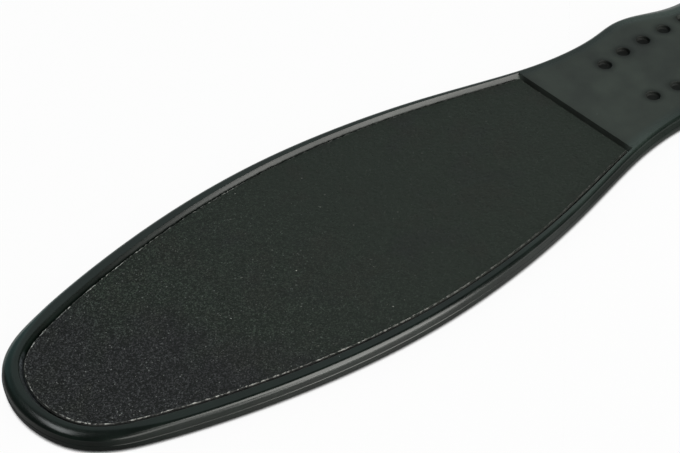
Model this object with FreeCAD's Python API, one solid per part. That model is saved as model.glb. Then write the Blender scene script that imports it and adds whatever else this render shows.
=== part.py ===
import FreeCAD, Part
import math
import os

# Double sided foot file: one moulded body and a stack of three sheets in each face.
# X runs along the file, from the toe to the handle's end. Y runs across it and Z is up.
# The origin is at the middle of the file's length and width, on the surface that it lies on.

# Overall sizes in millimetres
overall_length = 265.0
paddle_length = 134.0
paddle_width = 56.8
body_thickness = 3.8

# Handle outline: places along X and full widths
neck_from_step = 14.6
shoulder_from_step = 28.0
waist_from_step = 48.5
swell_from_step = 88.0
neck_width = 32.0
shoulder_width = 34.5
waist_width = 27.1
swell_width = 28.6
handle_end_width = 27.6
handle_end_length = 13.5

# Paddle outline: shares of the paddle's length and of its half width, from the toe
paddle_outline_shares = (
    (0.011, 0.275),
    (0.025, 0.399),
    (0.045, 0.500),
    (0.073, 0.587),
    (0.111, 0.659),
    (0.168, 0.743),
    (0.255, 0.846),
    (0.373, 0.946),
    (0.541, 1.000),
    (0.685, 0.954),
    (0.829, 0.835),
    (0.948, 0.691),
)

# Outline on from there, by way of neck, shoulder, waist and swell to the handle's end:
# shares of the way and of the change in half width
neck_fall_shares = (0.485, 0.68)
neck_rise_shares = (0.57, 0.36)
shoulder_fall_shares = ((0.26, 0.16), (0.45, 0.49), (0.66, 0.84))
grip_rise_shares = (0.5, 0.5)
grip_fall_shares = (0.5, 0.25)

# Steps round each corner of the handle's end
handle_end_steps = 4

# Rounded edges, the side walls' lean and the parting ridge
paddle_edge_width = 0.95
grip_edge_width = 2.8
edge_height = 1.0
grip_edge_blend = 20.0
side_lean = 0.06
ridge_height = 0.12
ridge_stand_out = 0.08
edge_steps = 4

# Recess and its rim
rim_width_toe = 3.1
rim_width_step = 1.4
side_wall_lean = 0.75
end_wall_lean = 0.3

# Sheets, from the recess floor up, and their gaps
adhesive_thickness = 0.15
backing_thickness = 0.3
grit_thickness = 0.35
sheet_below_rim = 0.5
sheet_side_gap = 0.9
sheet_end_gap = 0.7
adhesive_edge_gap = 0.35
grit_edge_gap = 0.15

# Grip dimples, in two rows on each face
dimple_diameter = 3.0
dimple_depth = 0.8
dimple_sides = 16
dimple_pitch = 6.35
dimple_row_spacing = 16.4
dimples_per_row = 14
first_dimple_from_step = 15.9
row_end_draw_in = 1.2
draw_in_fade_share = 0.25

# Hang hole
hang_hole_diameter = 5.0
hang_hole_from_end = 10.5
hang_hole_chamfer = 0.4

# One overrun serves all cuts
overrun = 1.0

# Places that follow from the sizes
toe_x = -overall_length / 2
end_x = overall_length / 2
step_x = toe_x + paddle_length
neck_x = step_x + neck_from_step
shoulder_x = step_x + shoulder_from_step
waist_x = step_x + waist_from_step
swell_x = step_x + swell_from_step
half_thickness = body_thickness / 2
sheet_thickness = adhesive_thickness + backing_thickness + grit_thickness
recess_depth = sheet_thickness + sheet_below_rim
recess_floor_z = body_thickness - recess_depth

# Halvings of a search along a curve
halvings = 50


def mix(start, end, share):
    return start + (end - start) * share


def smooth(share):
    share = min(max(share, 0.0), 1.0)
    return share * share * (3 - 2 * share)


def paddle_points():
    """Places on the +Y side of the outline, from the toe's tip to the neck."""
    places = [(toe_x, 0.0)]
    for along, across in paddle_outline_shares:
        places.append((toe_x + along * paddle_length, across * paddle_width / 2))
    last_x, last_y = places[-1]
    along, fall = neck_fall_shares
    places.append((mix(last_x, neck_x, along), mix(last_y, neck_width / 2, fall)))
    places.append((neck_x, neck_width / 2))
    return places


def shoulder_points():
    """Places from past the neck, over the shoulder, to the waist."""
    along, rise = neck_rise_shares
    places = [(mix(neck_x, shoulder_x, along), mix(neck_width, shoulder_width, rise) / 2)]
    places.append((shoulder_x, shoulder_width / 2))
    for along, fall in shoulder_fall_shares:
        places.append((mix(shoulder_x, waist_x, along), mix(shoulder_width, waist_width, fall) / 2))
    places.append((waist_x, waist_width / 2))
    return places


def grip_points():
    """Places from past the waist, over the swell, to the handle's rounded tip."""
    end_start = end_x - handle_end_length
    along, rise = grip_rise_shares
    places = [(mix(waist_x, swell_x, along), mix(waist_width, swell_width, rise) / 2)]
    places.append((swell_x, swell_width / 2))
    along, fall = grip_fall_shares
    places.append((mix(swell_x, end_start, along), mix(swell_width, handle_end_width, fall) / 2))
    for step in range(handle_end_steps + 1):
        turn = math.pi / 2 * step / handle_end_steps
        x = end_start + handle_end_length * math.sin(turn)
        places.append((x, math.cos(turn) * handle_end_width / 2))
    return places


def curve_through(points, last_tangent):
    """Smooth curve that leaves the toe's tip square to the long axis."""
    curve = Part.BSplineCurve()
    curve.interpolate(
        Points=points,
        InitialTangent=FreeCAD.Vector(0, 1, 0),
        FinalTangent=last_tangent,
        Scale=False,
    )
    return curve


def inward_directions(points, curve):
    """Unit vectors square to the outline, pointing into the body."""
    directions = []
    for point in points:
        tangent = curve.tangent(curve.parameter(point))[0]
        directions.append(FreeCAD.Vector(tangent.y, -tangent.x, 0))
    return directions


stations = [FreeCAD.Vector(x, y, 0) for x, y in paddle_points() + shoulder_points() + grip_points()]
stations_to_neck = len(paddle_points())
tip_tangent = FreeCAD.Vector(0, -1, 0)
inward = inward_directions(stations, curve_through(stations, tip_tangent))


def moved_stations(inset_at, z):
    """The outline's stations at height z, moved in by inset_at(x)."""
    points = []
    for point, direction in zip(stations, inward):
        moved = point + direction * inset_at(point.x)
        points.append(FreeCAD.Vector(moved.x, moved.y, z))
    return points


def mirrored_edge(edge):
    """The edge's twin on the -Y side, from its far end back to the toe."""
    twin = edge.mirror(FreeCAD.Vector(0, 0, 0), FreeCAD.Vector(0, 1, 0))
    return twin.reversed()


def body_wire(inset_at, z):
    """Closed outline of the body at height z, moved in by inset_at(x) all round."""
    side = curve_through(moved_stations(inset_at, z), tip_tangent).toShape()
    return Part.Wire([side, mirrored_edge(side)])


def edge_width_at(x):
    """Reach of the rounded edge: narrow on the paddle, wide on the grip."""
    return mix(paddle_edge_width, grip_edge_width, smooth((x - shoulder_x) / grip_edge_blend))


def quarter_turn(steps):
    """Unit quarter round, as pairs of reach and rise that both run from 0 to 1."""
    turns = [math.pi / 2 * step / steps for step in range(steps + 1)]
    return [(1 - math.cos(turn), math.sin(turn)) for turn in turns]


def upper_half():
    """Upper half of the body without recess: parting ridge, leaning side and rounded edge."""
    wall_top = body_thickness - edge_height
    ridge_foot = half_thickness + ridge_height / 2
    wires = [
        body_wire(lambda x: 0.0, half_thickness),
        body_wire(lambda x: ridge_stand_out, ridge_foot),
    ]
    for reach, rise in quarter_turn(edge_steps):
        wires.append(
            body_wire(
                lambda x, reach=reach: ridge_stand_out + side_lean + edge_width_at(x) * reach,
                wall_top + edge_height * rise,
            )
        )
    return Part.makeLoft(wires, True, True)


def across_middle(shape):
    """The same shape on the other face."""
    middle = FreeCAD.Vector(0, 0, half_thickness)
    return shape.mirror(middle, FreeCAD.Vector(0, 0, 1))


def rim_width_at(x):
    """Distance from the outline to the recess wall, which narrows towards the step."""
    return mix(rim_width_toe, rim_width_step, (x - toe_x) / paddle_length)


def parameter_at(curve, x):
    """Where a curve that runs towards +X crosses the given x."""
    low = curve.FirstParameter
    high = curve.LastParameter
    for _ in range(halvings):
        middle = (low + high) / 2
        if curve.value(middle).x < x:
            low = middle
        else:
            high = middle
    return low


def recess_wire(side_gap, end_gap, z):
    """Recess outline at height z, moved in by side_gap along the rim and end_gap at the step."""
    points = moved_stations(lambda x: rim_width_at(x) + side_gap, z)[:stations_to_neck]
    curve = curve_through(points, FreeCAD.Vector(1, 0, 0))
    side = curve.toShape(curve.FirstParameter, parameter_at(curve, step_x - end_gap))
    corner = side.valueAt(side.LastParameter)
    end_line = Part.LineSegment(corner, FreeCAD.Vector(corner.x, -corner.y, z))
    return Part.Wire([side, end_line.toShape(), mirrored_edge(side)])


def layer(side_gap, end_gap, z, thickness):
    """Flat piece with the recess's outline, drawn in by the gaps."""
    face = Part.Face(recess_wire(side_gap, end_gap, z))
    return face.extrude(FreeCAD.Vector(0, 0, thickness))


def recess_cutter():
    """Space of the recess, whose walls lean outwards from its floor to its crisp lip."""
    wires = [
        recess_wire(side_wall_lean, end_wall_lean, recess_floor_z),
        recess_wire(0.0, 0.0, body_thickness),
        recess_wire(0.0, 0.0, body_thickness + overrun),
    ]
    return Part.makeLoft(wires, True, True)


def dimple_places():
    """Centres of the dimples of both rows: each row's ends draw in towards the middle."""
    places = []
    for number in range(dimples_per_row):
        from_row_end = min(number, dimples_per_row - 1 - number)
        draw_in = row_end_draw_in * draw_in_fade_share ** from_row_end
        x = step_x + first_dimple_from_step + number * dimple_pitch
        y = dimple_row_spacing / 2 - draw_in
        places.append(FreeCAD.Vector(x, y, body_thickness - dimple_depth))
        places.append(FreeCAD.Vector(x, -y, body_thickness - dimple_depth))
    return places


def many_sided(centre, radius, sides, height):
    """Upright column on a regular outline."""
    corners = []
    for number in range(sides + 1):
        turn = 2 * math.pi * number / sides
        corners.append(centre + FreeCAD.Vector(math.cos(turn), math.sin(turn), 0) * radius)
    return Part.Face(Part.makePolygon(corners)).extrude(FreeCAD.Vector(0, 0, height))


def dimple_cutters():
    """Blind holes in the upper face, each with enough sides to look round at its size."""
    height = dimple_depth + overrun
    return [many_sided(at, dimple_diameter / 2, dimple_sides, height) for at in dimple_places()]


def hang_hole_cutters():
    """Through hole near the handle's end, with a chamfer at each mouth."""
    bore = hang_hole_diameter / 2
    reach = hang_hole_chamfer + overrun
    up = FreeCAD.Vector(0, 0, 1)
    foot = FreeCAD.Vector(end_x - hang_hole_from_end, 0, -overrun)
    shaft = Part.makeCylinder(bore, body_thickness + 2 * overrun, foot, up)
    mouth_foot = FreeCAD.Vector(foot.x, 0, body_thickness - hang_hole_chamfer)
    mouth = Part.makeCone(bore, bore + reach, reach, mouth_foot, up)
    return [shaft, mouth, across_middle(mouth)]


def moulded_body():
    """The paddle and handle in one piece."""
    half = upper_half().cut([recess_cutter()] + dimple_cutters())
    body = half.fuse(across_middle(half)).removeSplitter()
    return body.cut(hang_hole_cutters())


def adhesive_film():
    side_gap = sheet_side_gap + adhesive_edge_gap
    end_gap = sheet_end_gap + adhesive_edge_gap
    return layer(side_gap, end_gap, recess_floor_z, adhesive_thickness)


def backing_sheet():
    z = recess_floor_z + adhesive_thickness
    return layer(sheet_side_gap, sheet_end_gap, z, backing_thickness)


def grit_coat():
    """Resin and grains, which chip back a little along the sheet's cut edge."""
    z = recess_floor_z + adhesive_thickness + backing_thickness
    side_gap = sheet_side_gap + grit_edge_gap
    end_gap = sheet_end_gap + grit_edge_gap
    return layer(side_gap, end_gap, z, grit_thickness)


def save(name, shape):
    """Write one node, as its single solid."""
    solid = shape.Solids[0] if len(shape.Solids) == 1 else shape
    print(name, "solids", len(shape.Solids), "valid", shape.isValid(), "volume", round(shape.Volume, 3))
    solid.exportStep("parts/" + name + ".step")


def main():
    os.makedirs("parts", exist_ok=True)
    save("moulded_body", moulded_body())
    sheets = {
        "adhesive_film": adhesive_film(),
        "backing_sheet": backing_sheet(),
        "grit_coat": grit_coat(),
    }
    for name, shape in sheets.items():
        save("front_" + name, shape)
        save("back_" + name, across_middle(shape))


main()
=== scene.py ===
"""Looks of the foot file: a moulded body with a stack of sheets in each face, laid on a pale floor."""

import logging
import math
from dataclasses import dataclass
from enum import Enum
from functools import cached_property
from typing import Callable, Sequence, Union

import bmesh
import bpy
import numpy as np
from mathutils import Matrix, Vector
from mathutils.geometry import delaunay_2d_cdt


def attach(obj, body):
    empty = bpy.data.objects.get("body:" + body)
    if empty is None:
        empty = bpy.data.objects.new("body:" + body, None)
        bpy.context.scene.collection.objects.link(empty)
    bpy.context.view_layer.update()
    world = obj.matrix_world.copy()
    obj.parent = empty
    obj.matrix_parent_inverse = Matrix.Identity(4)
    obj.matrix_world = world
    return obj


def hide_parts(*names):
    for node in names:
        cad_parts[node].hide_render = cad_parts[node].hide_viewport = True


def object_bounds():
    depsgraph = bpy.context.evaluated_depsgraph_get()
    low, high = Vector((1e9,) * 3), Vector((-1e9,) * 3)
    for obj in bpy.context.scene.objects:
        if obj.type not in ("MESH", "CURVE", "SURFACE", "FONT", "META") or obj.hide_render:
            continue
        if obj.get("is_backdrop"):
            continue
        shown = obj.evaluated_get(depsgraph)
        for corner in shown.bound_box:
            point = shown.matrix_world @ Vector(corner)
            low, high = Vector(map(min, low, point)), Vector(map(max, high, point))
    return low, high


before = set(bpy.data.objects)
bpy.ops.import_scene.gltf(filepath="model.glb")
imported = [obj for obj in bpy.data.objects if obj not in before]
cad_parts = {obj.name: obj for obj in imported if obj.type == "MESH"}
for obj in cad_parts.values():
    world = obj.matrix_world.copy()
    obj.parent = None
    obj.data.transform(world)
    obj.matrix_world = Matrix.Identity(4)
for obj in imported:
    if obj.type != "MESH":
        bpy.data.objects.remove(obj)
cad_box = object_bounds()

log = logging.getLogger("foot_file")

MM = 0.001
BODY = "root"

Colour = tuple[float, float, float]
Span = tuple[float, float]
Place = tuple[float, float, float]
# Even rises along the axes: for each its axis, where it is 0 and where it is 1, in millimetres.
Zone = tuple[tuple[str, float, float], ...]
Ring = list[int]
Array = np.ndarray
Heights = Union[float, Array]
Inset = Callable[[float], float]
Material = bpy.types.Material
Piece = bpy.types.Object


def mix(start: float, end: float, share: float) -> float:
    """The value a share of the way from start to end."""
    return start + (end - start) * share


def smooth(share: float) -> float:
    """Eased share, held between 0 and 1."""
    share = min(max(share, 0.0), 1.0)
    return share * share * (3 - 2 * share)


class Side(Enum):
    """Face of the file that a sheet lies in."""

    FRONT = "front"
    BACK = "back"

    def height(self, z: float, thickness: float) -> float:
        """Height of a level that is z up on the front face, on this face of a body of that thickness."""
        return z if self is Side.FRONT else thickness - z


# Shader nodes


class Signal:
    """A value that changes over a surface. Arithmetic on it adds Math nodes."""

    def __init__(self, tree: "Tree", socket: bpy.types.NodeSocket) -> None:
        """Wraps one output socket of a tree's node."""
        self.tree = tree
        self.socket = socket

    def _math(self, operation: str, *values: "Value") -> "Signal":
        """Adds a Math node with that operation on those values."""
        return self.tree.add("Math", dict(enumerate(values)), operation=operation)

    def __add__(self, other: "Value") -> "Signal":
        """Sum."""
        return self._math("ADD", self, other)

    __radd__ = __add__

    def __sub__(self, other: "Value") -> "Signal":
        """Difference."""
        return self._math("SUBTRACT", self, other)

    def __rsub__(self, other: "Value") -> "Signal":
        """Difference, the other way round."""
        return self._math("SUBTRACT", other, self)

    def __mul__(self, other: "Value") -> "Signal":
        """Product."""
        return self._math("MULTIPLY", self, other)

    __rmul__ = __mul__

    def __pow__(self, power: "Value") -> "Signal":
        """Power."""
        return self._math("POWER", self, power)

    def clamped(self) -> "Signal":
        """The value, held between 0 and 1."""
        return self._math("MINIMUM", self._math("MAXIMUM", self, 0.0), 1.0)

    def over(self, low: float, high: float) -> "Signal":
        """0 below low, 1 above high and an even rise between them. High may be the smaller one."""
        return ((self - low) * (1 / (high - low))).clamped()


Value = Union[Signal, float]
Inputs = dict[Union[str, int], Union[Signal, float, Sequence[float]]]


class Tree:
    """The shader nodes of one material or of the surroundings."""

    def __init__(self, name: str, surroundings: bool = False) -> None:
        """Starts a tree with no nodes.

        Args:
            name: what the material is called.
            surroundings: whether it lights the scene and isn't a material.
        """
        self.owner = bpy.data.worlds.new(name) if surroundings else bpy.data.materials.new(name)
        self.output = "ShaderNodeOutputWorld" if surroundings else "ShaderNodeOutputMaterial"
        self.owner.use_nodes = True
        self.nodes = self.owner.node_tree.nodes
        self.links = self.owner.node_tree.links
        self.nodes.clear()

    def add(self, kind: str, inputs: Inputs, output: Union[int, str] = 0, **settings: object) -> Signal:
        """Adds a node.

        Args:
            kind: the node's type, without ShaderNode.
            inputs: what goes into its sockets, by name or number.
            output: the socket that is handed back.
            settings: the node's properties.

        Returns:
            The node's chosen output.
        """
        node = self.nodes.new("ShaderNode" + kind)
        for name, value in settings.items():
            setattr(node, name, value)
        for name, value in inputs.items():
            if isinstance(value, Signal):
                self.links.new(value.socket, node.inputs[name])
            else:
                node.inputs[name].default_value = value
        return Signal(self, node.outputs[output])

    def place(self) -> Signal:
        """Where a point of the surface is, in the file's own frame, in metres."""
        return self.add("TexCoord", {}, "Object")

    def part(self, vector: Signal, axis: str) -> Signal:
        """One coordinate of a vector."""
        return self.add("SeparateXYZ", {0: vector}, axis)

    def axis(self, name: str) -> Signal:
        """One coordinate of the place."""
        return self.part(self.place(), name)

    def zone(self, rises: Zone) -> Signal:
        """Share from 0 to 1 of lying in a zone, as the product of its rises."""
        shares = [self.axis(axis).over(low * MM, high * MM) for axis, low, high in rises]
        return math.prod(shares[1:], start=shares[0])

    def noise(self, size: float, detail: float = 2.0) -> Signal:
        """Soft random value from about 0.3 to 0.7, with features of that size in millimetres."""
        inputs = {"Vector": self.place(), "Scale": 1 / (size * MM), "Detail": detail}
        return self.add("TexNoise", inputs)

    def cells(self, size: float, output: str = "Color", stretch: Sequence[float] = (1, 1, 1)) -> Signal:
        """Cells of that size in millimetres: a random colour for each, or the distance to its middle."""
        place = self.add("VectorMath", {0: self.place(), 1: stretch}, operation="MULTIPLY")
        return self.add("TexVoronoi", {"Vector": place, "Scale": 1 / (size * MM)}, output)

    def channel(self, colour: Signal, name: str) -> Signal:
        """One channel of a colour."""
        return self.add("SeparateColor", {0: colour}, name)

    def blend(self, share: Value, low: Union[Signal, Colour], high: Union[Signal, Colour]) -> Signal:
        """Colour between low and high."""
        ends = [value if isinstance(value, Signal) else (*value, 1.0) for value in (low, high)]
        return self.add("Mix", {"Factor": share, 6: ends[0], 7: ends[1]}, 2, data_type="RGBA")

    def scaled(self, colour: Union[Signal, Colour], amount: Signal) -> Signal:
        """Colour made lighter or darker."""
        return self.add("VectorMath", {0: colour, "Scale": amount}, operation="SCALE")

    def attribute(self, name: str) -> Signal:
        """Value stored at the mesh's points."""
        return self.add("Attribute", {}, "Fac", attribute_name=name, attribute_type="GEOMETRY")

    def upright(self) -> Signal:
        """0 where a face lies flat and 1 where it stands upright."""
        rise = self.part(self.add("NewGeometry", {}, "True Normal"), "Z")
        return 1 - self.add("Math", {0: rise}, operation="ABSOLUTE")

    def bump(self, height: Signal, depth: float) -> Signal:
        """Normal of a surface with a relief from 0 to 1, which is that deep in millimetres."""
        return self.add("Bump", {"Height": height, "Distance": depth * MM, "Strength": 1.0}, "Normal")

    def principled(self, inputs: Inputs) -> Signal:
        """Shader of a solid surface."""
        return self.add("BsdfPrincipled", inputs)

    def finish(self, shader: Signal) -> Union[Material, bpy.types.World]:
        """Joins a shader to the output and hands back the material or world."""
        self.links.new(shader.socket, self.nodes.new(self.output).inputs["Surface"])
        return self.owner


# Finishes


# Where the sheet's cut edge is frayed.
FRAYED: Zone = (("X", -75.0, -45.0),)


@dataclass(frozen=True)
class MouldedPlastic:
    """Near-black plastic: glossy on the rim, with a fine spark texture on the handle's faces, painted shade round
    the dimples and painted light in the step gap, on the toe wall and along the grip and neck edges.
    """

    # Painted shade: the dimple colour round the dimples. Painted light: the step gap, toe wall and grip and neck
    # edge colours.
    colour: Colour = (0.0040, 0.0078, 0.0058)
    face_colour: Colour = (0.0175, 0.0226, 0.0180)
    dimple_painted_shade: Colour = (0.0040, 0.0050, 0.0045)
    dust: Colour = (0.30, 0.31, 0.31)
    step_gap_painted_light: Colour = (0.105, 0.124, 0.113)
    toe_wall_light_colour: Colour = (0.060, 0.066, 0.074)
    edge_painted_light: Colour = (0.034, 0.046, 0.040)
    rim_roughness: float = 0.22
    face_roughness: float = 0.52
    wall_roughness: float = 0.29
    dimple_roughness: float = 0.2
    dull_roughness: float = 0.9
    cloud_roughness: float = 0.10
    fine_roughness: float = 0.05
    index: float = 1.55
    cloud_size: float = 6.0
    grain_size: float = 0.16
    fine_size: float = 0.6
    toe_light_patch_size: float = 0.5
    tone: float = -0.24
    cloud_tone: float = 2.20
    fine_tone: float = 0.28
    start_shade: float = 0.22
    bump_depth: float = 0.012
    rim_relief: float = 0.06
    fine_relief: float = 0.12
    dust_cell: float = 0.8
    dust_share: float = 0.010
    dust_reach: Span = (0.13, 0.07)
    dust_strength: float = 0.7
    toe_light_patches: Span = (0.3, 0.6)
    neck_light_share: float = 0.9
    edge_light_strength: float = 0.6
    wall_haze: float = 0.15
    middle_haze: float = 1.8
    satin_edge: float = 0.72
    dimple_haze: float = 0.5
    most_haze: float = 0.85
    handle: Zone = (("X", 1.0, 1.2),)
    face_start: Zone = (("X", 3.5, 1.7),)
    step_gap: Zone = (("X", -0.1, 0.6), ("Y", 16.4, 15.8))
    toe_wall: Zone = (("X", -76.5, -110.5), ("Y", 7.0, 11.0))
    middle_wall: Zone = (("X", -64.0, -50.0), ("X", -30.0, -40.0))
    handle_wall: Zone = (("X", -28.5, -3.5),)
    # The toe wall zone and the grip and neck edge zones below take painted light.
    toe_wall_painted_light: Zone = (("X", -123.5, -125.5), ("Y", -4.0, 2.0), ("Z", 3.6, 3.4))
    satin: Zone = (("X", -32.0, -14.0), ("Z", 1.0, 1.9), ("Z", 3.6, 3.2))
    grip_painted_light_zone: Zone = (("X", 27.0, 34.0), ("Y", 9.0, 11.0), ("Z", 2.6, 3.2))
    neck_painted_light_zone: Zone = (("X", -40.0, -16.0), ("X", 20.0, 6.0), ("Y", -4.0, -8.0), ("Z", 3.6, 3.8))

    def material(self) -> Material:
        """Builds the plastic, which needs the textured, sunk and dimple_shade of the mesh."""
        tree = Tree("moulded_plastic")
        textured, sunk = tree.attribute("textured"), tree.attribute("sunk")
        on_face = textured * tree.zone(self.handle)
        painted_dimple_shade = tree.attribute("dimple_shade") * on_face
        in_recess = sunk * (1 - on_face)
        bare = (1 - textured) * (1 - sunk)
        cloud, fine = tree.noise(self.cloud_size, 3.0), tree.noise(self.fine_size, 3.0)
        tone = self.tone + cloud * self.cloud_tone + fine * self.fine_tone
        tone = tone * (1 - tree.zone(self.face_start) * self.start_shade)
        base = tree.blend(on_face, self.colour, self.face_colour)
        # Painted shade darkens the face round each dimple.
        base = tree.scaled(tree.blend(painted_dimple_shade, base, self.dimple_painted_shade), tone)
        # Painted light makes the shaded gap at the step paler.
        base = tree.blend(in_recess * tree.zone(self.step_gap), base, self.step_gap_painted_light)
        # Painted light in patches on the toe's recess wall.
        toe_wall_painted_light = in_recess * tree.zone(self.toe_wall_painted_light) * tree.noise(self.toe_light_patch_size).over(*self.toe_light_patches)
        base = tree.blend(toe_wall_painted_light, base, self.toe_wall_light_colour)
        # Painted light makes the rim paler along the grip and the neck.
        painted_edge_light = bare * (tree.zone(self.grip_painted_light_zone) + tree.zone(self.neck_painted_light_zone) * self.neck_light_share)
        base = tree.blend(painted_edge_light * (fine + 1) * self.edge_light_strength, base, self.edge_painted_light)
        chosen = tree.channel(tree.cells(self.dust_cell), "Red").over(1 - self.dust_share, 1.0)
        speck = chosen.over(0.0, 0.05) * tree.cells(self.dust_cell, "Distance").over(*self.dust_reach)
        roughness = self.rim_roughness + in_recess * (self.wall_roughness - self.rim_roughness)
        roughness = roughness + on_face * (self.face_roughness - self.rim_roughness + sunk * self.dimple_roughness)
        roughness = roughness + (cloud - 0.5) * self.cloud_roughness + (fine - 0.5) * self.fine_roughness
        relief = tree.noise(self.grain_size) * (self.rim_relief + on_face * (1 - self.rim_relief))
        plastic = tree.principled({
            "Base Color": tree.blend(speck * self.dust_strength, base, self.dust),
            "Roughness": roughness,
            "IOR": self.index,
            "Normal": tree.bump(relief + fine * self.fine_relief, self.bump_depth),
        })
        dull = tree.principled({"Base Color": base, "Roughness": self.dull_roughness, "Specular IOR Level": 0.0})
        haze = 1 + tree.zone(self.handle_wall) + tree.zone(self.middle_wall) * self.middle_haze
        matt = in_recess * (haze * self.wall_haze + tree.zone(self.toe_wall)).clamped()
        matt = matt + (1 - sunk) * tree.zone(self.satin) * self.satin_edge + painted_dimple_shade * self.dimple_haze
        return tree.finish(tree.add("MixShader", {0: matt * self.most_haze, 1: plastic, 2: dull}))


@dataclass(frozen=True)
class Grit:
    """Dark grains in resin, rubbed pale along the top of the sheet's cut edge."""

    name: str = "coarse_grit"
    colour: Colour = (0.0172, 0.0226, 0.0181)
    violet: Colour = (0.0162, 0.0160, 0.0180)
    warm: Colour = (0.0182, 0.0198, 0.0167)
    glint: Colour = (0.26, 0.27, 0.27)
    pale: Colour = (0.86, 0.86, 0.83)
    grain: float = 0.215
    knot: float = 0.45
    contrast: float = 1.0
    blur: float = 0.86
    salt_power: float = 4.0
    salt: float = 3.6
    pepper: float = 0.92
    small_tone: float = 0.4
    cloud_tone: float = 0.2
    roughness: float = 0.66
    glint_gloss: float = 0.3
    glint_share: float = 0.03
    relief: float = 0.03
    toe_slant: Span = (-0.088, -0.122)
    chip_width: float = 0.05
    far_width: float = 0.07
    chip_wander: Span = (0.36, 0.60)
    strip_edge: Span = (-0.03, 0.02)
    steepness: Span = (0.22, 0.50)
    below_top: Span = (0.32, 0.18)
    frayed_rise: float = 0.25
    knots: Span = (0.35, 0.85)
    strength: float = 0.76
    toe_gain: float = 0.02
    handle_loss: float = 0.46
    past_toe_loss: float = 0.55
    tip_loss: float = 0.65
    far_side_loss: float = 0.40
    blurred: Zone = (("X", -114.0, -55.0),)
    far_half: Zone = (("Y", 0.0, 6.0),)
    past_toe: Zone = (("X", -110.0, -80.0),)
    toe: Zone = (("X", -117.0, -124.0),)
    handle_half: Zone = (("X", -80.0, -20.0),)
    dull_tip: Zone = (("X", -123.0, -125.5), ("Y", -7.5, -4.5))
    dull_far_side: Zone = (("X", -100.0, -108.0), ("Y", 8.0, 12.0))

    def material(self) -> Material:
        """Builds the coat's material."""
        tree = Tree(self.name)
        cell = tree.cells(self.grain)
        one, two = tree.channel(cell, "Red"), tree.channel(cell, "Green")
        small = tree.channel(tree.cells(self.grain * 0.6), "Blue")
        crisp = 1 - tree.zone(self.blurred) * self.blur
        salt = one ** self.salt_power * self.salt + small * self.small_tone - self.pepper
        tone = 1 + self.contrast * crisp * salt + (tree.noise(1.4, 3.0) - 0.5) * self.cloud_tone
        glint = two.over(1 - self.glint_share, 1.0) * small.over(0.3, 0.8) * crisp
        base = tree.blend(glint, tree.scaled(self.tint(tree), tone), self.glint)
        return tree.finish(tree.principled({
            "Base Color": tree.blend(self.chips(tree), base, self.pale),
            "Roughness": self.roughness - glint * self.glint_gloss,
            "IOR": 1.5,
            "Specular IOR Level": 0.25,
            "Normal": tree.bump(small * 0.5 + tree.noise(0.12), self.relief),
        }))

    def tint(self, tree: Tree) -> Signal:
        """Resin colour: green, with violet clouds towards the toe and warm ones all over.

        Args:
            tree: the material's nodes.

        Returns:
            The colour.
        """
        towards_toe = (tree.axis("X") + tree.axis("Y") * 0.6).over(*self.toe_slant)
        violet = (0.20 + tree.noise(11.0) * 0.60 + towards_toe * 0.34).over(0.54, 0.74)
        base = tree.blend(violet * 0.9, self.colour, self.violet)
        return tree.blend(tree.noise(7.0).over(0.52, 0.66) * 0.5, base, self.warm)

    def chips(self, tree: Tree) -> Signal:
        """Share of pale chips at the cut edge, from the edge_distance and below_top of the mesh in millimetres.

        Args:
            tree: the material's nodes.

        Returns:
            The share, from 0 to 1.
        """
        wander = tree.noise(1.1, 3.0).over(*self.chip_wander)
        width = self.chip_width + tree.zone(self.far_half) * self.far_width
        top_strip = (width * wander - tree.attribute("edge_distance")).over(*self.strip_edge)
        top_strip = top_strip * (1 - tree.zone(self.past_toe) * self.past_toe_loss)
        frayed = tree.zone(FRAYED)
        high = (tree.attribute("below_top") - frayed * self.frayed_rise).over(*self.below_top)
        knot = tree.channel(tree.cells(self.knot), "Green").over(*self.knots)
        fresh = self.strength + tree.zone(self.toe) * self.toe_gain - tree.zone(self.handle_half) * self.handle_loss
        chips = (tree.upright().over(*self.steepness) + top_strip).clamped() * high * fresh
        chips = chips * (0.10 + knot * 1.15 - frayed * knot * 0.60) * (0.55 + wander * 0.45)
        for dull, loss in ((self.dull_tip, self.tip_loss), (self.dull_far_side, self.far_side_loss)):
            chips = chips * (1 - tree.zone(dull) * loss)
        return chips


@dataclass(frozen=True)
class BackingFilm:
    """Dark fibrous carrier of the grit, seen at the sheet's cut edge."""

    colour: Colour = (0.010, 0.010, 0.010)
    light: Colour = (0.050, 0.050, 0.047)
    frayed: Colour = (0.085, 0.088, 0.080)

    def material(self) -> Material:
        """Builds the backing's material, which is paler where the cut is frayed."""
        tree = Tree("backing_film")
        fibre = tree.cells(0.14, stretch=(0.5, 0.5, 2.0))
        share = tree.channel(fibre, "Red") * tree.noise(1.2).over(0.35, 0.6)
        frayed = tree.zone(FRAYED) * (0.6 + tree.channel(fibre, "Blue") * 0.4)
        return tree.finish(tree.principled({
            "Base Color": tree.blend(frayed, tree.blend(share, self.colour, self.light), self.frayed),
            "Roughness": 0.75 - tree.channel(fibre, "Green") * 0.2,
            "Normal": tree.bump(tree.noise(0.09), 0.03),
        }))


@dataclass(frozen=True)
class TransferAdhesive:
    """Thin dark film that the sheet is stuck down with."""

    colour: Colour = (0.006, 0.006, 0.006)
    light: Colour = (0.014, 0.014, 0.013)

    def material(self) -> Material:
        """Builds the film's material."""
        tree = Tree("transfer_adhesive")
        cloud = tree.noise(1.0, 3.0)
        return tree.finish(tree.principled({
            "Base Color": tree.blend(cloud, self.colour, self.light),
            "Roughness": 0.45 + cloud * 0.3,
            "Normal": tree.bump(tree.noise(0.2), 0.02),
        }))


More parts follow.
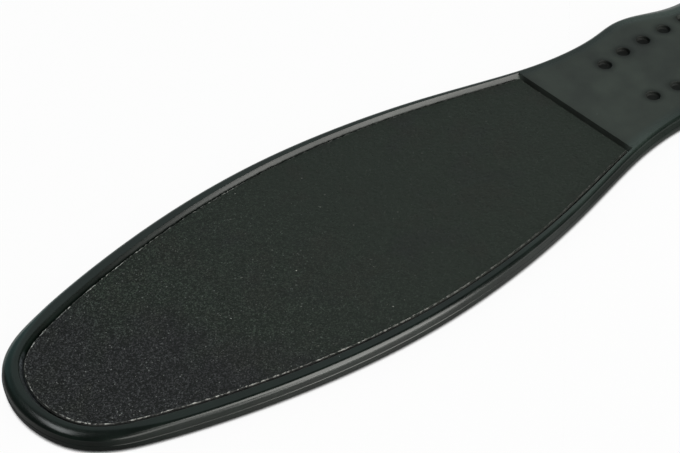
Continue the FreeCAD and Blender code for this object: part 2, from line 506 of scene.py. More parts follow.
@dataclass(frozen=True)
class PaleFloor:
    """Pale, slightly shiny table top that stays white to the camera and keeps the file's shadow."""

    colour: Colour = (0.60, 0.61, 0.60)
    other: Colour = (0.63, 0.63, 0.62)
    lift: float = 0.965
    toe_lift: float = 0.02
    gloss_lift: float = 0.08
    # Painted reflection: extra white that reflections see on the handle's side.
    handle_painted_reflection: float = 0.10
    shine: float = 0.2
    contact: float = 0.9
    contact_sky: Span = (0.25, 0.65)
    shade_reach: float = 9.0
    open_sky: Span = (0.55, 1.0)
    least_sky: float = 0.2
    toe_shade: Span = (-0.132, -0.018)
    toe_shade_fade: Span = (0.020, 0.006)
    toe_darkness: float = 0.7
    handle_side: Zone = (("X", -75.0, -30.0),)

    def material(self) -> Material:
        """Builds the floor's material, which keeps the dark line where the file touches it."""
        tree = Tree("pale_floor")
        tint = tree.blend(tree.noise(60.0), self.colour, self.other)
        shade = self.openness(tree, self.shade_reach).over(*self.open_sky)
        shade = self.least_sky + shade * (1 - self.least_sky)
        along, across = (tree.axis(name) - middle for name, middle in zip("XY", self.toe_shade))
        far, near = self.toe_shade_fade
        near_toe = (along * along + across * across).over(far ** 2, near ** 2)
        # Painted shadow: the floor's colour darkens near the file and in a patch by the toe.
        tint = tree.scaled(tint, shade * (1 - near_toe * self.toe_darkness))
        plain = tree.principled({"Base Color": tint, "Roughness": self.shine})
        white = tree.add("Emission", {"Color": (1.0, 1.0, 1.0, 1.0), "Strength": 1.0})
        rays = ("Is Camera Ray", "Is Transmission Ray", "Is Glossy Ray")
        camera, through, glossy = (tree.add("LightPath", {}, name) for name in rays)
        # Painted reflection: the floor looks whiter still to reflections on the handle's side.
        gloss = self.gloss_lift + tree.zone(self.handle_side) * self.handle_painted_reflection
        share = (camera + through).clamped() * (self.lift + near_toe * self.toe_lift) + glossy * gloss
        share = share * self.openness(tree, self.contact).over(*self.contact_sky)
        return tree.finish(tree.add("MixShader", {0: share, 1: plain, 2: white}))

    @staticmethod
    def openness(tree: Tree, reach: float) -> Signal:
        """How little of the sky the file hides within that reach in millimetres."""
        return tree.add("AmbientOcclusion", {"Distance": reach * MM}, "AO", samples=8)


@dataclass(frozen=True)
class Room:
    """What stands round the table: pale low down, dim overhead and darker beyond the toe."""

    low: Colour = (0.95, 0.97, 0.95)
    high: Colour = (0.052, 0.064, 0.062)
    rise: Span = (0.18, 0.32)
    bright_side: Span = (-0.45, 0.25)
    dark_side: float = 0.25

    def world(self) -> bpy.types.World:
        """Builds the surroundings."""
        tree = Tree("surroundings", surroundings=True)
        way = tree.add("TexCoord", {}, "Generated")
        side = tree.part(way, "X").over(*self.bright_side)
        low = tree.scaled(self.low, self.dark_side + side * (1 - self.dark_side))
        colour = tree.blend(tree.part(way, "Z").over(*self.rise), low, self.high)
        return tree.finish(tree.add("Background", {"Color": colour, "Strength": 1.0}))


# Meshes


# The filling keeps the triangles inside the outline, and takes points this near for one.
INSIDE_ONLY = 1
SAME_PLACE = 1e-7
# How many rows of distances are worked out at a time, to spare memory.
ROWS_AT_ONCE = 500


class MeshMaker:
    """Points and faces of one closed piece, in millimetres."""

    def __init__(self) -> None:
        """Starts with no points."""
        self.points: list[Place] = []
        self.faces: list[tuple[int, ...]] = []

    def ring(self, places: Array, z: Heights) -> Ring:
        """Adds a row of points.

        Args:
            places: their X and Y.
            z: one height, or one for each.

        Returns:
            Their numbers.
        """
        heights = np.broadcast_to(z, len(places))
        first = len(self.points)
        self.points.extend((x, y, h) for (x, y), h in zip(places.tolist(), heights.tolist()))
        return list(range(first, len(self.points)))

    def skin(self, one: Ring, other: Ring) -> None:
        """Joins two closed rings of as many points by a band of four-sided faces."""
        for a, b, c, d in zip(one, one[1:] + one[:1], other[1:] + other[:1], other):
            self.faces.append((a, b, c, d))

    def tube(self, rows: Sequence[tuple[Array, Heights]]) -> list[Ring]:
        """Adds a row of rings, each joined to the next.

        Args:
            rows: the places and heights of each ring.

        Returns:
            The rings.
        """
        rings = [self.ring(places, z) for places, z in rows]
        for one, other in zip(rings, rings[1:]):
            self.skin(one, other)
        return rings

    def fill(self, outer: Ring, holes: Sequence[Ring] = (), within: Ring = ()) -> None:
        """Fills a flat outline.

        Args:
            outer: the outline.
            holes: outlines inside it that stay open.
            within: further points that the filling goes through.
        """
        members, edges = [], []
        for loop in (outer, *holes):
            first, count = len(members), len(loop)
            members.extend(loop)
            edges.extend((first + k, first + (k + 1) % count) for k in range(count))
        members.extend(within)
        flat = [Vector(self.points[member][:2]) for member in members]
        found, _, triangles, origins, _, _ = delaunay_2d_cdt(flat, edges, [], INSIDE_ONLY, SAME_PLACE)
        numbers = [members[origin[0]] for origin in origins]
        centres = np.array([np.mean([found[corner] for corner in triangle], axis=0) for triangle in triangles])
        keep = np.ones(len(centres), bool)
        for hole in holes:
            loop = np.array([self.points[member][:2] for member in hole])
            keep &= ~inside(loop, centres)
        for triangle, kept in zip(triangles, keep):
            if kept:
                self.faces.append(tuple(numbers[corner] for corner in triangle))

    def build(self, name: str, sharp: float, material: Material) -> Piece:
        """Makes the piece.

        Args:
            name: its name.
            sharp: edges that turn by more than this many degrees stay crisp.
            material: its finish.

        Returns:
            The object, not yet riding on a body.
        """
        mesh = bpy.data.meshes.new(name)
        mesh.from_pydata((np.array(self.points) * MM).tolist(), [], self.faces)
        mesh.validate()
        turn_outwards(mesh)
        mesh.shade_smooth()
        mesh.set_sharp_from_angle(angle=math.radians(sharp))
        mesh.materials.append(material)
        return show(name, mesh)


def show(name: str, data: bpy.types.ID) -> Piece:
    """Puts an object in the scene.

    Args:
        name: its name.
        data: its mesh, lamp or camera.

    Returns:
        The object.
    """
    piece = bpy.data.objects.new(name, data)
    bpy.context.scene.collection.objects.link(piece)
    return piece


def points_of(mesh: bpy.types.Mesh) -> Array:
    """A mesh's points, one row each, in millimetres."""
    places = np.empty(len(mesh.vertices) * 3, np.float32)
    mesh.vertices.foreach_get("co", places)
    return places.reshape(-1, 3) / MM


def store(mesh: bpy.types.Mesh, **marks: Array) -> None:
    """Stores a value for each of a mesh's points, under each mark's name."""
    for name, values in marks.items():
        mesh.attributes.new(name, "FLOAT", "POINT").data.foreach_set("value", values.astype(np.float32))


def turn_outwards(mesh: bpy.types.Mesh) -> None:
    """Turns all faces of a closed mesh the same way, outwards."""
    work = bmesh.new()
    work.from_mesh(mesh)
    bmesh.ops.recalc_face_normals(work, faces=work.faces)
    work.to_mesh(mesh)
    work.free()


def inside(loop: Array, places: Array) -> Array:
    """Which places lie inside a closed loop.

    Args:
        loop: the loop's corners, one row each.
        places: the places to test, one row each.

    Returns:
        One truth value for each place.
    """
    x, y = places[:, 0][:, None], places[:, 1][:, None]
    start, end = loop, np.roll(loop, -1, axis=0)
    spans = (start[:, 1] > y) != (end[:, 1] > y)
    rise = np.where(end[:, 1] == start[:, 1], 1.0, end[:, 1] - start[:, 1])
    crossing = start[:, 0] + (y - start[:, 1]) * (end[:, 0] - start[:, 0]) / rise
    return (np.sum(spans & (x < crossing), axis=1) % 2).astype(bool)


def distance(places: Array, loop: Array) -> Array:
    """Distance of each place to the nearest corner of a loop. Both have one row of X and Y for each."""
    parts = np.array_split(places, 1 + len(places) // ROWS_AT_ONCE)
    return np.concatenate([np.sqrt(((part[:, None] - loop[None]) ** 2).sum(2).min(1)) for part in parts])


def quarter(steps: int) -> list[Span]:
    """Unit quarter round, as pairs of reach and rise that both run from 0 to 1."""
    turns = [math.pi / 2 * step / steps for step in range(steps + 1)]
    return [(1 - math.cos(turn), math.sin(turn)) for turn in turns]


def smooth_curve(points: Array, start: Sequence[float], end: Sequence[float], spacing: float) -> Array:
    """Samples the smooth curve through some points.

    Args:
        points: what it goes through, one row each.
        start: its direction at the first point.
        end: its direction at the last point.
        spacing: the longest step between samples.

    Returns:
        Four columns: X, Y and the unit direction.
    """
    chords = np.linalg.norm(np.diff(points, axis=0), axis=1)
    count = len(points)
    matrix = np.eye(count)
    right = np.zeros((count, 2))
    right[0], right[-1] = start, end
    for number in range(1, count - 1):
        before, after = chords[number - 1], chords[number]
        matrix[number, number - 1 : number + 2] = (after, 2 * (before + after), before)
        rise_before = (points[number] - points[number - 1]) / before
        rise_after = (points[number + 1] - points[number]) / after
        right[number] = 3 * (after * rise_before + before * rise_after)
    slopes = np.linalg.solve(matrix, right)
    rows = []
    for number, chord in enumerate(chords):
        steps = math.ceil(chord / spacing)
        last = number == count - 2
        for step in range(steps + last):
            t = step / steps
            a, b = points[number], points[number + 1]
            m, n = slopes[number] * chord, slopes[number + 1] * chord
            place = (2*t**3 - 3*t**2 + 1)*a + (t**3 - 2*t**2 + t)*m + (3*t**2 - 2*t**3)*b + (t**3 - t**2)*n
            turn = (6*t**2 - 6*t)*a + (3*t**2 - 4*t + 1)*m + (6*t - 6*t**2)*b + (3*t**2 - 2*t)*n
            rows.append((*place, *(turn / np.linalg.norm(turn))))
    return np.array(rows)


@dataclass(frozen=True)
class Outline:
    """The body's outline, in millimetres, on an X axis that starts at the file's middle."""

    overall_length: float = 265.0
    paddle_length: float = 134.0
    paddle_width: float = 56.8
    neck_from_step: float = 14.6
    shoulder_from_step: float = 28.0
    waist_from_step: float = 48.5
    swell_from_step: float = 88.0
    neck_width: float = 32.0
    shoulder_width: float = 34.5
    waist_width: float = 27.1
    swell_width: float = 28.6
    end_width: float = 27.6
    end_length: float = 13.5
    paddle_shares: tuple[Span, ...] = (
        (0.011, 0.275), (0.025, 0.399), (0.045, 0.500), (0.073, 0.587), (0.111, 0.659), (0.168, 0.743),
        (0.255, 0.846), (0.373, 0.946), (0.541, 1.000), (0.685, 0.954), (0.829, 0.835), (0.948, 0.691),
    )
    neck_fall: Span = (0.485, 0.68)
    neck_rise: Span = (0.57, 0.36)
    shoulder_fall: tuple[Span, ...] = ((0.26, 0.16), (0.45, 0.49), (0.66, 0.84))
    grip_rise: Span = (0.5, 0.5)
    grip_fall: Span = (0.5, 0.25)
    end_steps: int = 4
    spacing: float = 0.6

    @property
    def toe_x(self) -> float:
        """The toe's tip."""
        return -self.overall_length / 2

    @property
    def step_x(self) -> float:
        """Where the handle begins."""
        return self.toe_x + self.paddle_length

    @property
    def middle_x(self) -> float:
        """Half way along the paddle."""
        return self.step_x - self.paddle_length / 2

    @property
    def shoulder_x(self) -> float:
        """The handle's widest place."""
        return self.step_x + self.shoulder_from_step

    def stations(self) -> Array:
        """The places that the +Y side goes through, from the toe's tip to the handle's tip."""
        step, end = self.step_x, self.overall_length / 2 - self.end_length
        places = [(self.toe_x, 0.0)]
        for along, across in self.paddle_shares:
            places.append((self.toe_x + along * self.paddle_length, across * self.paddle_width / 2))
        x, width = places[-1][0], places[-1][1] * 2
        for next_x, next_width, shares in (
            (step + self.neck_from_step, self.neck_width, (self.neck_fall,)),
            (self.shoulder_x, self.shoulder_width, (self.neck_rise,)),
            (step + self.waist_from_step, self.waist_width, self.shoulder_fall),
            (step + self.swell_from_step, self.swell_width, (self.grip_rise,)),
            (end, self.end_width, (self.grip_fall,)),
        ):
            for along, change in (*shares, (1.0, 1.0)):
                places.append((mix(x, next_x, along), mix(width, next_width, change) / 2))
            x, width = next_x, next_width
        for number in range(1, self.end_steps + 1):
            turn = math.pi / 2 * number / self.end_steps
            places.append((end + self.end_length * math.sin(turn), math.cos(turn) * self.end_width / 2))
        return np.array(places)

    @cached_property
    def side(self) -> Array:
        """Samples of the +Y side: X, Y and the direction that points out of the body."""
        samples = smooth_curve(self.stations(), (0, 1), (0, -1), self.spacing)
        return np.column_stack([samples[:, :2], -samples[:, 3], samples[:, 2]])

    def moved(self, inset: Inset) -> Array:
        """X and Y of the +Y side's samples, moved into the body by what inset gives for their X."""
        reach = np.array([inset(x) for x in self.side[:, 0]])[:, None]
        return self.side[:, :2] - self.side[:, 2:] * reach

    def loop(self, inset: Inset) -> Array:
        """The whole outline, moved into the body, as a closed ring from the toe's tip."""
        side = self.moved(inset)
        return np.concatenate([side, side[-2:0:-1] * (1, -1)])


@dataclass(frozen=True)
class RecessOutline:
    """Outline of the recess in the paddle, which narrows its rim towards the step."""

    outline: Outline
    rim_width_toe: float = 3.1
    rim_width_step: float = 1.4
    end_points: int = 41

    def rim_width(self, x: float) -> float:
        """Distance from the outline to the recess wall."""
        share = (x - self.outline.toe_x) / self.outline.paddle_length
        return mix(self.rim_width_toe, self.rim_width_step, share)

    def side(self, gap: float, end_gap: float) -> Array:
        """The +Y side of the recess, from the toe's tip to its corner at the step.

        Args:
            gap: distance from the lip along the rim.
            end_gap: distance from the lip at the step.

        Returns:
            X and Y of each point.
        """
        places = self.outline.moved(lambda x: self.rim_width(x) + gap)
        end = self.outline.step_x - end_gap
        kept = places[places[:, 0] < end]
        before, after = kept[-1], places[len(kept)]
        share = (end - before[0]) / (after[0] - before[0])
        return np.vstack([kept, before + (after - before) * share])

    def loop(self, gap: float, end_gap: float, count: int) -> Array:
        """Closed ring of the recess.

        Args:
            gap: distance from the lip along the rim.
            end_gap: distance from the lip at the step.
            count: points on each side of it.

        Returns:
            X and Y of each point, from the toe's tip by the +Y side.
        """
        side = even(self.side(gap, end_gap), count)
        x, y = side[-1]
        line = np.column_stack([np.full(self.end_points, x), np.linspace(y, -y, self.end_points)])
        return np.concatenate([side, line[1:-1], side[:0:-1] * (1, -1)])


def even(places: Array, count: int) -> Array:
    """A line of points, spaced evenly again.

    Args:
        places: the line's points.
        count: how many points to give back.

    Returns:
        Points along the line, its ends included.
    """
    runs = np.concatenate([[0.0], np.cumsum(np.linalg.norm(np.diff(places, axis=0), axis=1))])
    wanted = np.linspace(0, runs[-1], count)
    return np.column_stack([np.interp(wanted, runs, places[:, axis]) for axis in (0, 1)])


def circle(x: float, y: float, radius: float, count: int) -> Array:
    """Points of a circle."""
    turns = np.arange(count) * 2 * math.pi / count
    return np.column_stack([x + radius * np.cos(turns), y + radius * np.sin(turns)])


# Sub-assemblies


@dataclass
class MouldedBody:
    """Paddle and handle in one moulding, in millimetres."""

    outline: Outline
    recess: RecessOutline
    thickness: float = 3.8
    toe_edge_width: float = 2.2
    paddle_edge_width: float = 0.95
    grip_edge_width: float = 2.8
    toe_edge_length: float = 20.5
    toe_edge_blend: float = 14.0
    edge_height: float = 1.0
    grip_edge_blend: float = 20.0
    side_lean: float = 0.06
    ridge_height: float = 0.16
    ridge_stand_out: float = 0.08
    crest_share: float = 0.2
    crest_wear: float = 0.012
    margin: float = 0.1
    smooth_border: float = 0.7
    border_blend: float = 1.6
    face_grid: float = 0.8
    edge_steps: int = 10
    recess_depth: float = 1.3
    side_wall_lean: float = 0.75
    end_wall_lean: float = 0.3
    lip_radius: float = 0.08
    lip_steps: int = 3
    foot_radius: float = 0.2
    foot_shares: tuple[float, ...] = (0.3, 0.65, 1.0)
    recess_points: int = 300
    dimple_diameter: float = 3.0
    dimple_depth: float = 0.8
    dimple_pitch: float = 6.35
    dimple_row_spacing: float = 16.4
    dimples_per_row: int = 14
    first_dimple_from_step: float = 15.9
    row_end_draw_in: float = 1.2
    draw_in_fade: float = 0.25
    dimple_mouth_round: float = 0.15
    dimple_foot_round: float = 0.4
    dimple_steps: int = 3
    dimple_points: int = 28
    shade_reach: float = 2.8
    shade_blend: float = 1.7
    hole_diameter: float = 5.0
    hole_from_end: float = 10.5
    hole_mouth: float = 0.4
    hole_steps: int = 5
    hole_points: int = 56
    face_half_width: float = 20.0
    sunk_depth: float = 0.1
    sunk_border: float = 0.3
    sharp: float = 38.0

    def edge_width(self, x: float) -> float:
        """Reach of the rounded edge: narrow on the paddle, wider at the toe and on the grip."""
        at_toe = smooth((self.outline.toe_x + self.toe_edge_length - x) / self.toe_edge_blend)
        on_grip = smooth((x - self.outline.shoulder_x) / self.grip_edge_blend)
        return mix(mix(self.paddle_edge_width, self.toe_edge_width, at_toe), self.grip_edge_width, on_grip)

    def upper_rows(self) -> list[tuple[Inset, float]]:
        """Insets and heights of the outer surface, from the parting ridge up to the face."""
        middle = self.thickness / 2
        wall_top = self.thickness - self.edge_height
        flat = self.ridge_stand_out
        lean = flat + self.side_lean
        rows: list[tuple[Inset, float]] = [
            (lambda x: flat * self.crest_share, middle + self.ridge_height / 8),
            (lambda x: flat, middle + self.ridge_height / 2),
        ]
        for reach, rise in quarter(self.edge_steps):
            height = wall_top + self.edge_height * rise
            rows.append((lambda x, reach=reach: lean + self.edge_width(x) * reach, height))
        rows.append((lambda x: lean + self.edge_width(x) + self.margin, self.thickness))
        return rows

    def dimple_places(self) -> list[Span]:
        """Centres of one face's dimples."""
        places = []
        for number in range(self.dimples_per_row):
            from_end = min(number, self.dimples_per_row - 1 - number)
            y = self.dimple_row_spacing / 2 - self.row_end_draw_in * self.draw_in_fade ** from_end
            x = self.outline.step_x + self.first_dimple_from_step + number * self.dimple_pitch
            places.extend([(x, y), (x, -y)])
        return places

    def add_recess(self, maker: MeshMaker, side: Side) -> Ring:
        """Adds the recess of one face: crisp lip, leaning wall, rounded foot and floor.

        Args:
            maker: what the surface is added to.
            side: the face.

        Returns:
            The lip's ring in the face.
        """
        depth, foot = self.recess_depth, self.foot_radius
        wall = (depth - foot) / depth
        rows = [(0.0, -self.lip_radius - self.margin, 0.0)]
        for rise, reach in quarter(self.lip_steps):
            rows.append((0.0, -self.lip_radius * (1 - reach), self.lip_radius * rise))
        rows += [(wall / 2, 0.0, depth * wall / 2), (wall, 0.0, depth * wall)]
        for share in self.foot_shares:
            rows.append((wall, foot * share, depth * wall + foot * (1 - (1 - share) ** 2)))
        loops = []
        for lean, gap, down in rows:
            gaps = (self.side_wall_lean * lean + gap, self.end_wall_lean * lean + gap)
            loops.append((self.recess.loop(*gaps, self.recess_points), self.level(side, down)))
        rings = maker.tube(loops)
        maker.fill(rings[-1])
        return rings[0]

    def level(self, side: Side, down: float) -> float:
        """Height of a level that lies that far down from a face."""
        return side.height(self.thickness - down, self.thickness)

    def add_dimple(self, maker: MeshMaker, side: Side, x: float, y: float) -> Ring:
        """Adds one dimple.

        Args:
            maker: what the surface is added to.
            side: the face.
            x: its place along the file.
            y: its place across the file.

        Returns:
            Its mouth's ring in the face.
        """
        radius, mouth, foot = self.dimple_diameter / 2, self.dimple_mouth_round, self.dimple_foot_round
        turns = quarter(self.dimple_steps)
        rows = [(radius + mouth + self.margin, 0.0)]
        rows += [(radius + mouth * (1 - rise), mouth * reach) for reach, rise in turns]
        rows += [(radius - foot * reach, self.dimple_depth - foot * (1 - rise)) for reach, rise in turns]
        count = self.dimple_points
        rings = maker.tube([(circle(x, y, reach, count), self.level(side, down)) for reach, down in rows])
        maker.faces.append(tuple(rings[-1]))
        return rings[0]

    def add_hole(self, maker: MeshMaker) -> tuple[Ring, Ring]:
        """Adds the hang hole's wall and hands back the rings of its two mouths, the upper one first."""
        radius, mouth = self.hole_diameter / 2, self.hole_mouth
        upper = [(radius + mouth + self.margin, self.thickness)]
        for reach, rise in quarter(self.hole_steps):
            upper.append((radius + mouth * (1 - rise), self.thickness - mouth * reach))
        lower = [(reach, self.thickness - z) for reach, z in reversed(upper)]
        rings = maker.tube([(circle(*self.hole_place, reach, self.hole_points), z) for reach, z in upper + lower])
        return rings[0], rings[-1]

    @property
    def hole_place(self) -> Span:
        """X and Y of the hang hole's middle."""
        return self.outline.overall_length / 2 - self.hole_from_end, 0.0

    def build(self, material: Material) -> Piece:
        """Builds the moulding.

        Args:
            material: its plastic.

        Returns:
            The finished piece.
        """
        maker = MeshMaker()
        upper = self.upper_rows()
        rows = [(inset, self.thickness - z) for inset, z in reversed(upper)]
        rows += [(lambda x: self.crest_wear, self.thickness / 2)] + upper
        rings = maker.tube([(self.outline.loop(inset), z) for inset, z in rows])
        top_mouth, low_mouth = self.add_hole(maker)
        for side, rim, mouth in ((Side.FRONT, rings[-1], top_mouth), (Side.BACK, rings[0], low_mouth)):
            holes = [self.add_recess(maker, side), mouth]
            holes += [self.add_dimple(maker, side, x, y) for x, y in self.dimple_places()]
            maker.fill(rim, holes, maker.ring(self.face_places(), self.level(side, 0.0)))
        piece = maker.build("moulded_body_shell", self.sharp, material)
        self.mark_faces(piece)
        weighted = piece.modifiers.new("even_normals", "WEIGHTED_NORMAL")
        weighted.keep_sharp = True
        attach(piece, BODY)
        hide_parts("moulded_body")
        return piece

    def face_places(self) -> Array:
        """Places spread over the handle's face, clear of its edge, its dimples and the hang hole."""
        outline, grid = self.outline, self.face_grid
        clear = grid / 2
        half, end = self.face_half_width, outline.overall_length / 2
        across, along = np.mgrid[-half:half:grid, outline.step_x + grid:end:grid]
        along[::2] += clear
        places = np.column_stack([along.ravel(), across.ravel()])
        loop = outline.loop(lambda x: self.edge_width(x) + self.ridge_stand_out + self.side_lean + self.margin)
        keep = inside(loop, places) & (distance(places, loop) > clear)
        dimple_reach = self.dimple_diameter / 2 + self.dimple_mouth_round
        hole_reach = self.hole_diameter / 2 + self.hole_mouth
        for middles, reach in ((self.dimple_places(), dimple_reach), ([self.hole_place], hole_reach)):
            keep &= distance(places, np.array(middles)) > reach + self.margin + clear
        return places[keep]

    def mark_faces(self, piece: Piece) -> None:
        """Stores whether each point lies in a flat face, how far it is sunk and how much painted shade it takes
        near a dimple.

        Args:
            piece: the moulding.
        """
        places = points_of(piece.data)
        depth = np.minimum(places[:, 2], self.thickness - places[:, 2])
        rounded = np.array([self.edge_width(x) for x in places[:, 0]])
        within = distance(places[:, :2], self.outline.loop(lambda x: 0.0)) - rounded
        within = within - self.ridge_stand_out - self.side_lean
        reach = np.linalg.norm(np.array(self.dimple_places())[None] - places[:, None, :2], axis=2).min(axis=1)
        store(
            piece.data,
            textured=np.clip((within - self.smooth_border) / self.border_blend, 0, 1),
            sunk=np.clip(depth / self.sunk_depth, 0, 1) * (within > self.sunk_border),
            dimple_shade=np.clip((self.shade_reach - reach) / self.shade_blend, 0, 1),
        )


@dataclass
class AbrasiveSheet:
    """Stack of film, backing and grit in one face's recess, in millimetres."""

    recess: RecessOutline
    side: Side
    finish: Grit
    thickness: float = 3.8
    floor_z: float = 2.5
    film: float = 0.15
    backing: float = 0.3
    grit: float = 0.35
    side_gap: float = 0.9
    end_gap: float = 0.7
    laid_off: float = 0.15
    laid_turn: float = -0.13
    film_gap: float = 0.35
    grit_gap: float = 0.15
    grain_spacing: float = 0.34
    grain_height: float = 0.10
    grain_drop_power: float = 1.5
    grain_jitter: float = 0.7
    first_row_in: float = 0.06
    chip: float = 0.16
    chip_drop: float = 0.5
    wobble: float = 0.05
    slab_levels: int = 4
    slab_sharp: float = 40.0
    grain_sharp: float = 20.0
    points: int = 420
    seed: int = 7

    def z(self, height: float) -> float:
        """Height on this sheet's face."""
        return self.side.height(height, self.thickness)

    def ride(self, piece: Piece, node: str, slot: str) -> None:
        """Lays a layer a little askew, ties it to the body and hides the solid that it stands for.

        Args:
            piece: the layer.
            node: the solid's name, without its face.
            slot: the slot of its finish; not used.
        """
        toe = Vector((self.recess.outline.toe_x * MM, 0.0, 0.0))
        turn = Matrix.Rotation(math.radians(self.laid_turn), 4, "Z")
        shift = Matrix.Translation(toe + Vector((0.0, self.laid_off * MM, 0.0)))
        piece.data.transform(shift @ turn @ Matrix.Translation(-toe))
        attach(piece, BODY)
        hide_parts(f"{self.side.value}_{node}")

    def loop(self, gap: float) -> Array:
        """Ring of the sheet's cut edge, moved in by a gap."""
        return self.recess.loop(self.side_gap + gap, self.end_gap + gap, self.points)

    def slab(self, name: str, gap: float, low: float, high: float, material: Material) -> Piece:
        """Builds a flat layer with a cut edge.

        Args:
            name: the piece's name.
            gap: how far its edge lies inside the sheet's.
            low: its lower level on the front face.
            high: its upper level on the front face.
            material: its finish.

        Returns:
            The piece.
        """
        maker = MeshMaker()
        random = np.random.default_rng(self.seed)
        loop = self.loop(gap)
        inward = np.array([self.recess.outline.middle_x, 0.0]) - loop
        inward /= np.linalg.norm(inward, axis=1)[:, None]
        rows = []
        for level in np.linspace(low, high, self.slab_levels):
            shift = random.random(len(loop))[:, None] * self.wobble
            rows.append((loop + inward * shift, self.z(level)))
        rings = maker.tube(rows)
        maker.fill(rings[0])
        maker.fill(rings[-1])
        return maker.build(name, self.slab_sharp, material)

    def grit_rows(self, random: np.random.Generator) -> list[Array]:
        """Grains of the coat, row by row from the toe, each from its -Y edge to its +Y edge.

        Args:
            random: what the grains' places are drawn from.

        Returns:
            X and Y of each row's grains.
        """
        side = self.recess.side(self.side_gap + self.grit_gap, self.end_gap + self.grit_gap)
        start, end = side[0, 0], side[-1, 0]
        count = int((end - start) / self.grain_spacing)
        rows = []
        for number in range(count + 1):
            x = mix(start, end, number / count)
            if number == 0:
                x += self.first_row_in
            half = float(np.interp(x, side[:, 0], side[:, 1]))
            across = max(2, int(2 * half / self.grain_spacing))
            y = np.linspace(-half, half, across + 1)
            row = np.column_stack([np.full(across + 1, x), y])
            jitter = (random.random(row.shape) - 0.5) * self.grain_spacing * self.grain_jitter
            if number in (0, count):
                jitter[:, 0] = 0
            jitter[0] = jitter[-1] = 0
            rows.append(row + jitter)
        return rows

    def build_grit(self) -> Piece:
        """Builds the coat: faceted grains on top and a chipped cut edge."""
        random = np.random.default_rng(self.seed + 1)
        maker = MeshMaker()
        base = self.floor_z + self.film + self.backing
        top = base + self.grit
        rows = self.grit_rows(random)
        numbers = []
        for row in rows:
            drop = random.random(len(row)) ** self.grain_drop_power * self.grain_height
            numbers.append(maker.ring(row, np.array([self.z(height) for height in top - drop])))
        for (one, a), (other, b) in zip(zip(numbers, rows), zip(numbers[1:], rows[1:])):
            i = j = 0
            while i < len(one) - 1 or j < len(other) - 1:
                if j == len(other) - 1 or (i < len(one) - 1 and a[i + 1, 1] < b[j + 1, 1]):
                    maker.faces.append((one[i], one[i + 1], other[j]))
                    i += 1
                else:
                    maker.faces.append((one[i], other[j + 1], other[j]))
                    j += 1
        rim = numbers[0] + [n[-1] for n in numbers[1:-1]] + numbers[-1][::-1] + [n[0] for n in numbers[-2:0:-1]]
        low = maker.ring(np.array([maker.points[number][:2] for number in rim]), self.z(base))
        self.chip_edge(maker, rim, random)
        maker.skin(rim, low)
        maker.fill(low)
        piece = maker.build(f"{self.side.value}_grit", self.grain_sharp, self.finish.material())
        places = points_of(piece.data)
        far = distance(places[:, :2], self.loop(self.grit_gap)) - self.chip
        below = np.abs(places[:, 2] - self.z(top))
        store(piece.data, edge_distance=np.maximum(far, 0), below_top=below)
        self.ride(piece, "grit_coat", "grit_coarse" if self.side is Side.FRONT else "grit_fine")
        return piece

    def chip_edge(self, maker: MeshMaker, rim: Ring, random: np.random.Generator) -> None:
        """Breaks the coat's upper edge back and down by uneven amounts.

        Args:
            maker: what holds the coat.
            rim: the points of its upper edge.
            random: what the amounts are drawn from.
        """
        middle = self.recess.outline.middle_x
        for number in rim:
            x, y, z = maker.points[number]
            reach = math.hypot(x - middle, y)
            share = 1 - self.chip * random.random() / reach
            drop = self.chip_drop * self.chip * random.random()
            drop = drop if self.side is Side.FRONT else -drop
            maker.points[number] = (middle + (x - middle) * share, y * share, z - drop)

    def build(self, backing: Material, film: Material) -> list[Piece]:
        """Builds the three layers.

        Args:
            backing: the backing's finish.
            film: the film's finish.

        Returns:
            The pieces, from the recess floor up.
        """
        side = self.side.value
        low = self.floor_z + self.film
        film_piece = self.slab(f"{side}_film", self.film_gap, self.floor_z, low, film)
        self.ride(film_piece, "adhesive_film", "adhesive")
        backing_piece = self.slab(f"{side}_backing", 0.0, low, low + self.backing, backing)
        self.ride(backing_piece, "backing_sheet", "backing")
        return [film_piece, backing_piece, self.build_grit()]


# Studio


WARM_WHITE: Colour = (1.0, 1.0, 0.95)


@dataclass(frozen=True)
class Softbox:
    """Rectangular lamp that faces a point of the file, in metres."""

    name: str
    towards: Place
    distance: float
    size: Span
    brightness: float
    colour: Colour
    aim: Place = (-0.05, 0.0, 0.0)

    def hang(self) -> None:
        """Hangs the lamp."""
        lamp = bpy.data.lights.new(self.name, "AREA")
        lamp.shape = "RECTANGLE"
        lamp.size, lamp.size_y = self.size
        lamp.energy = self.brightness * math.pi * self.size[0] * self.size[1]
        lamp.color = self.colour
        hung = show(self.name, lamp)
        direction = Vector(self.towards).normalized()
        hung.location = Vector(self.aim) + direction * self.distance
        hung.rotation_euler = direction.to_track_quat("Z", "Y").to_euler()


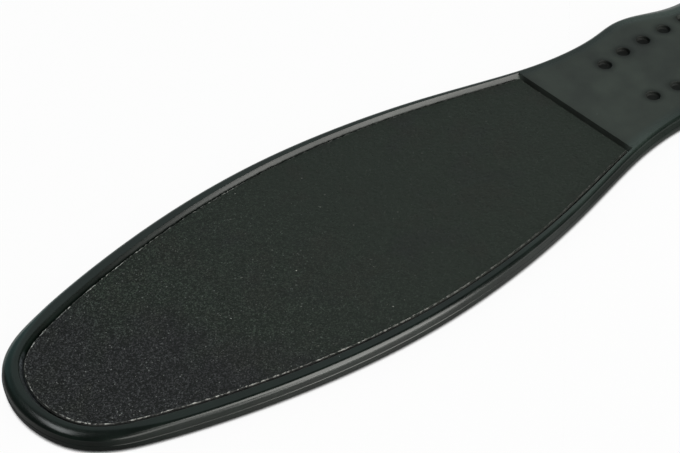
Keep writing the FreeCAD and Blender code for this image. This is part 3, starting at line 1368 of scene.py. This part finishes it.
@dataclass(frozen=True)
class Studio:
    """Floor, lamps, surroundings and camera, in metres and degrees."""

    camera_place: Place = (-0.24525, -0.22312, 0.25384)
    camera_tilt: float = 49.46
    camera_turn: float = -39.59
    lens: float = 106.76
    sensor_width: float = 36.0
    near_limit: float = 0.01
    floor_size: float = 8.0
    softboxes: tuple[Softbox, ...] = (
        Softbox("front_strip", (0.286, -0.746, 0.602), 0.7, (0.36, 0.90), 5.3, WARM_WHITE),
        Softbox("toe_strip", (-0.25, -0.80, 0.52), 0.9, (0.40, 0.50), 2.6, WARM_WHITE),
        Softbox("toe_lamp", (-0.24, 0.385, 0.891), 0.9, (0.40, 0.14), 5.0, (0.96, 1.0, 1.0)),
        Softbox("back_panel", (0.539, 0.642, 0.545), 1.1, (0.9, 0.84), 0.39, (0.84, 1.0, 0.97)),
        Softbox("left_panel", (0.033, 0.926, 0.375), 1.1, (0.54, 0.80), 0.32, (0.52, 1.0, 0.97)),
        Softbox("low_strip", (0.103, -0.982, 0.156), 0.9, (0.25, 0.22), 3.5, WARM_WHITE),
    )

    def lay_floor(self) -> None:
        """Lays the table top under the file."""
        mesh = bpy.data.meshes.new("floor")
        half = self.floor_size / 2
        corners = [(-half, -half, 0), (half, -half, 0), (half, half, 0), (-half, half, 0)]
        mesh.from_pydata(corners, [], [(0, 1, 2, 3)])
        mesh.materials.append(PaleFloor().material())
        show("floor", mesh)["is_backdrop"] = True

    def light(self) -> None:
        """Hangs the softboxes and sets the surroundings."""
        for softbox in self.softboxes:
            softbox.hang()
        bpy.context.scene.world = Room().world()

    def set_camera(self) -> None:
        """Sets the camera at the viewing angle."""
        data = bpy.data.cameras.new("camera")
        data.lens = self.lens
        data.sensor_width = self.sensor_width
        data.clip_start = self.near_limit
        camera = show("camera", data)
        camera.location = self.camera_place
        camera.rotation_euler = (math.radians(self.camera_tilt), 0.0, math.radians(self.camera_turn))
        bpy.context.scene.camera = camera


def main() -> None:
    """Builds the file's pieces and the studio around them."""
    logging.basicConfig(level=logging.INFO, format="%(name)s: %(message)s")
    outline = Outline()
    recess = RecessOutline(outline)
    body = MouldedBody(outline, recess)
    fine = Grit(name="fine_grit", grain=0.18, contrast=0.8)
    front = AbrasiveSheet(recess, Side.FRONT, Grit())
    back = AbrasiveSheet(recess, Side.BACK, fine, grain_spacing=0.4, grain_height=0.05, seed=23)
    backing, film = BackingFilm().material(), TransferAdhesive().material()
    pieces = [body.build(MouldedPlastic().material())]
    for sheet in (front, back):
        pieces += sheet.build(backing, film)
    for piece in pieces:
        log.info("%s: %d faces", piece.name, len(piece.data.polygons))
    studio = Studio()
    studio.lay_floor()
    studio.light()
    studio.set_camera()
    bpy.context.scene.view_settings.view_transform = "Standard"
    dressed_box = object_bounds()
    {"cad": plain(cad_box), "visual": plain(dressed_box)}


def plain(box: Sequence[Sequence[float]]) -> list[list[float]]:
    """A box as plain lists of numbers."""
    return [[float(value) for value in corner] for corner in box]


if __name__ == "__main__":
    main()
